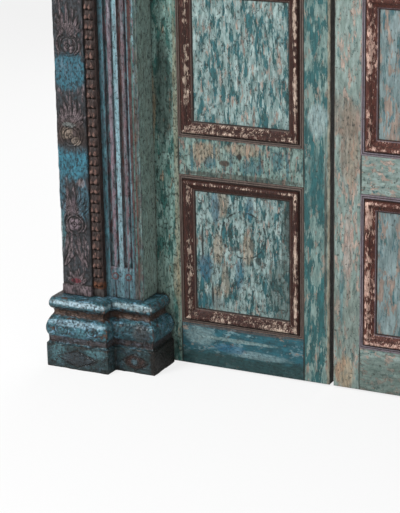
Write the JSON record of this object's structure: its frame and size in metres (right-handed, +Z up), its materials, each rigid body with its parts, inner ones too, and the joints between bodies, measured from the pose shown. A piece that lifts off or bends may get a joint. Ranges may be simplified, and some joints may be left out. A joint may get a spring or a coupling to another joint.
{
  "type": "antique teak door",
  "caption": "Double-leaf panelled door of old painted teak in its carved frame, with pilaster jambs on moulded base blocks. Both leaves swing inward on iron hinges.",
  "frame": {"origin": "on the floor, under the middle of the bounding box, on the centre line between the two leaves", "axes": "+X to the right seen from the front, +Y into the wall, +Z up"},
  "size_m": [1.759, 0.2554, 2.072],
  "materials": {
    "leaf_wood": "weathered paint",
    "moulding_wood": "worn dark paint",
    "post_wood": "weathered paint",
    "carved_wood": "worn dark paint",
    "base_wood": "worn gloss paint",
    "head_wood": "weathered paint",
    "iron": "rusted"
  },
  "bodies": {
    "frame": {"cornice": "head_wood", "head_beam": "head_wood", "head_board": "head_wood", "left_base_block": "base_wood", "left_capital": "head_wood", "left_carved_casing": "carved_wood", "left_jamb_post": "post_wood", "left_lower_hinge_frame_plate": "iron", "left_lower_hinge_pin": "iron", "left_rope_moulding": "carved_wood", "left_upper_hinge_frame_plate": "iron", "left_upper_hinge_pin": "iron", "right_base_block": "base_wood", "right_capital": "head_wood", "right_carved_casing": "carved_wood", "right_jamb_post": "post_wood", "right_lower_hinge_frame_plate": "iron", "right_lower_hinge_pin": "iron", "right_rope_moulding": "carved_wood", "right_upper_hinge_frame_plate": "iron", "right_upper_hinge_pin": "iron"},
    "left_leaf": {"left_leaf_bottom_rail": "leaf_wood", "left_leaf_hanging_stile": "leaf_wood", "left_leaf_lock_rail": "leaf_wood", "left_leaf_lower_moulding": "moulding_wood", "left_leaf_lower_panel": "leaf_wood", "left_leaf_meeting_stile": "leaf_wood", "left_leaf_middle_moulding": "moulding_wood", "left_leaf_middle_panel": "leaf_wood", "left_leaf_top_rail": "leaf_wood", "left_leaf_upper_moulding": "moulding_wood", "left_leaf_upper_panel": "leaf_wood", "left_leaf_upper_rail": "leaf_wood", "left_lower_hinge_leaf_plate": "iron", "left_upper_hinge_leaf_plate": "iron"},
    "right_leaf": {"right_leaf_bottom_rail": "leaf_wood", "right_leaf_hanging_stile": "leaf_wood", "right_leaf_lock_rail": "leaf_wood", "right_leaf_lower_moulding": "moulding_wood", "right_leaf_lower_panel": "leaf_wood", "right_leaf_meeting_stile": "leaf_wood", "right_leaf_middle_moulding": "moulding_wood", "right_leaf_middle_panel": "leaf_wood", "right_leaf_top_rail": "leaf_wood", "right_leaf_upper_moulding": "moulding_wood", "right_leaf_upper_panel": "leaf_wood", "right_leaf_upper_rail": "leaf_wood", "right_lower_hinge_leaf_plate": "iron", "right_upper_hinge_leaf_plate": "iron"}
  },
  "joints": [
    {"name": "left_leaf_swing", "type": "hinge", "parent": "frame", "child": "left_leaf", "pos_m": [-0.593, 0.1207, 0.945], "axis": [0, 0, 1], "range_deg": [0, 105]},
    {"name": "right_leaf_swing", "type": "hinge", "parent": "frame", "child": "right_leaf", "pos_m": [0.593, 0.1207, 0.945], "axis": [0, 0, -1], "range_deg": [0, 105]}
  ]
}
